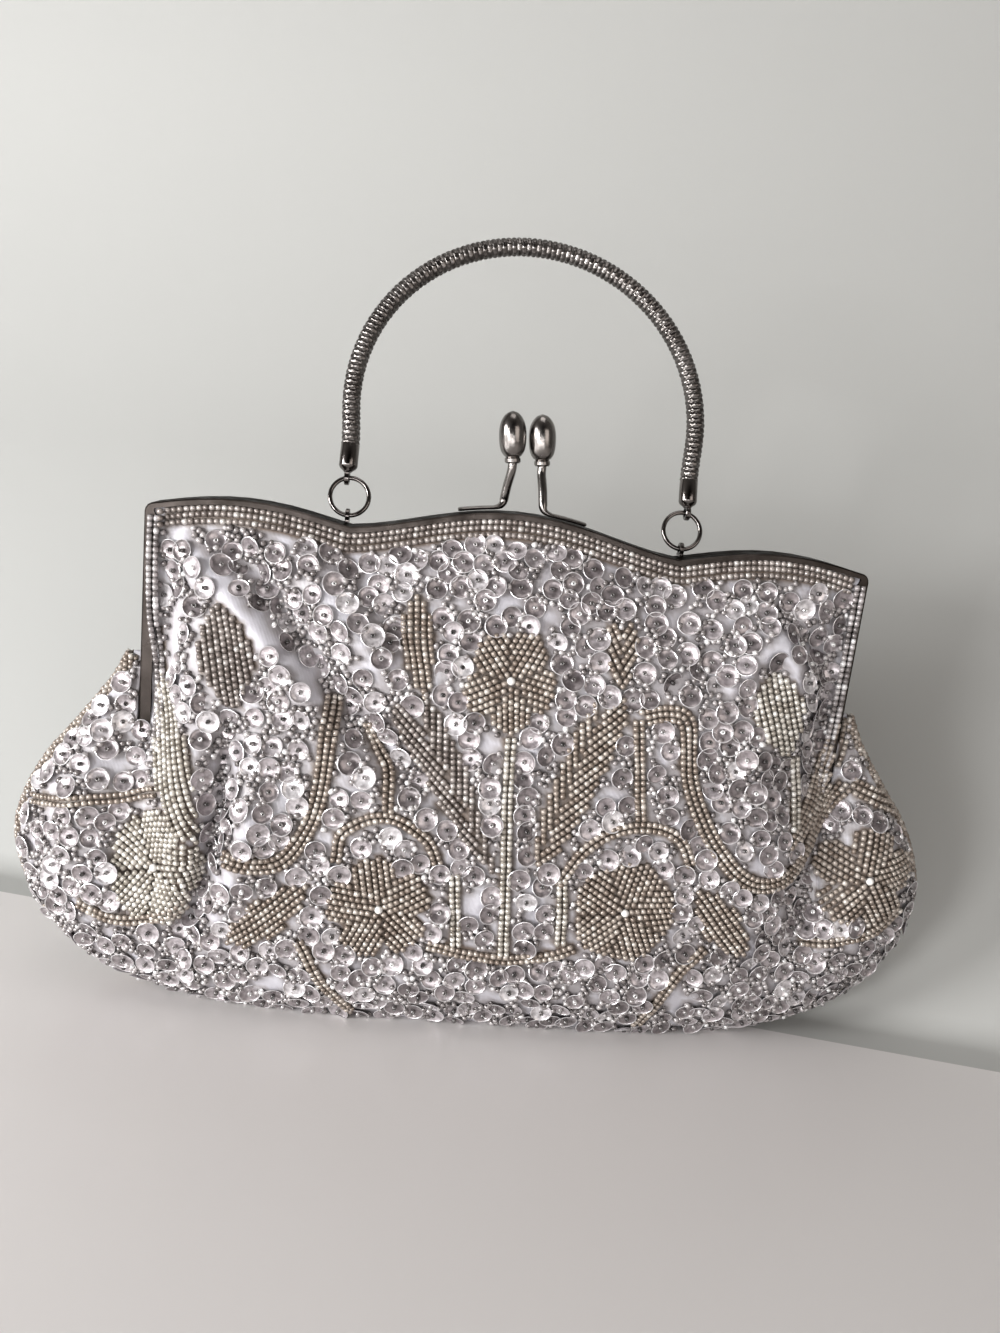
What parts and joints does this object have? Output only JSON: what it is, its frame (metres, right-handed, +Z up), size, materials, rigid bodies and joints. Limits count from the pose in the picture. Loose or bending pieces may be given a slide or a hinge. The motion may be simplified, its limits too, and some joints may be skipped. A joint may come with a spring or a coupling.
{
  "type": "beaded kiss-lock clutch bag",
  "caption": "Soft beaded evening clutch with a scalloped metal kiss-lock frame, egg-shaped clasp knobs and a short snake-chain handle on rings.",
  "frame": {"origin": "middle of the flat base that the bag stands on, below the line through the two hinge rivets", "axes": "+X across the bag from its left to its right as seen from the front, -Y out of the front face, +Z up to the clasp"},
  "size_m": [0.272, 0.0584, 0.2261],
  "materials": {
    "polished_nickel": "polished",
    "beaded_satin": "beaded satin",
    "bead_trim": "beaded",
    "lining_satin": "satin",
    "paper_cord": "matt"
  },
  "bodies": {
    "pouch": {"pouch_front": "beaded_satin", "pouch_back": "beaded_satin", "pouch_lining": "lining_satin", "seam_piping_left": "bead_trim", "seam_piping_right": "bead_trim"},
    "front_frame": {"front_frame_channel": "polished_nickel", "front_channel_cord": "paper_cord", "front_panel": "beaded_satin", "front_lining": "lining_satin", "front_knob": "polished_nickel", "front_knob_post": "polished_nickel", "hinge_rivet_left": "polished_nickel", "hinge_rivet_right": "polished_nickel"},
    "back_frame": {"back_frame_channel": "polished_nickel", "back_channel_cord": "paper_cord", "back_panel": "beaded_satin", "back_lining": "lining_satin", "back_knob": "polished_nickel", "back_knob_post": "polished_nickel", "ring_eye_left": "polished_nickel", "ring_eye_right": "polished_nickel"},
    "ring_left": {"ring_left": "polished_nickel"},
    "ring_right": {"ring_right": "polished_nickel"},
    "handle": {"handle_cap_left": "polished_nickel", "handle_cap_right": "polished_nickel", "handle_chain": "polished_nickel"}
  },
  "joints": [
    {"name": "front_open", "type": "hinge", "parent": "pouch", "child": "front_frame", "pos_m": [0, 0, 0.082], "axis": [1, 0, 0], "range_deg": [0, 30]},
    {"name": "back_open", "type": "hinge", "parent": "pouch", "child": "back_frame", "pos_m": [0, 0, 0.082], "axis": [1, 0, 0], "range_deg": [-30, 0]},
    {"name": "ring_left_swing", "type": "hinge", "parent": "back_frame", "child": "ring_left", "pos_m": [-0.0472, 0.0028, 0.14357], "axis": [1, 0, 0], "range_deg": [-55, 80]},
    {"name": "ring_right_swing", "type": "hinge", "parent": "back_frame", "child": "ring_right", "pos_m": [0.0472, 0.0028, 0.14357], "axis": [1, 0, 0], "range_deg": [-55, 80]},
    {"name": "handle_swing", "type": "hinge", "parent": "ring_left", "child": "handle", "pos_m": [0, 0.00646, 0.15362], "axis": [1, 0, 0], "range_deg": [-80, 35]}
  ],
  "couplings": [
    {"joint": "back_open", "follows": "front_open", "ratio": -1},
    {"joint": "ring_right_swing", "follows": "ring_left_swing", "ratio": 1}
  ]
}
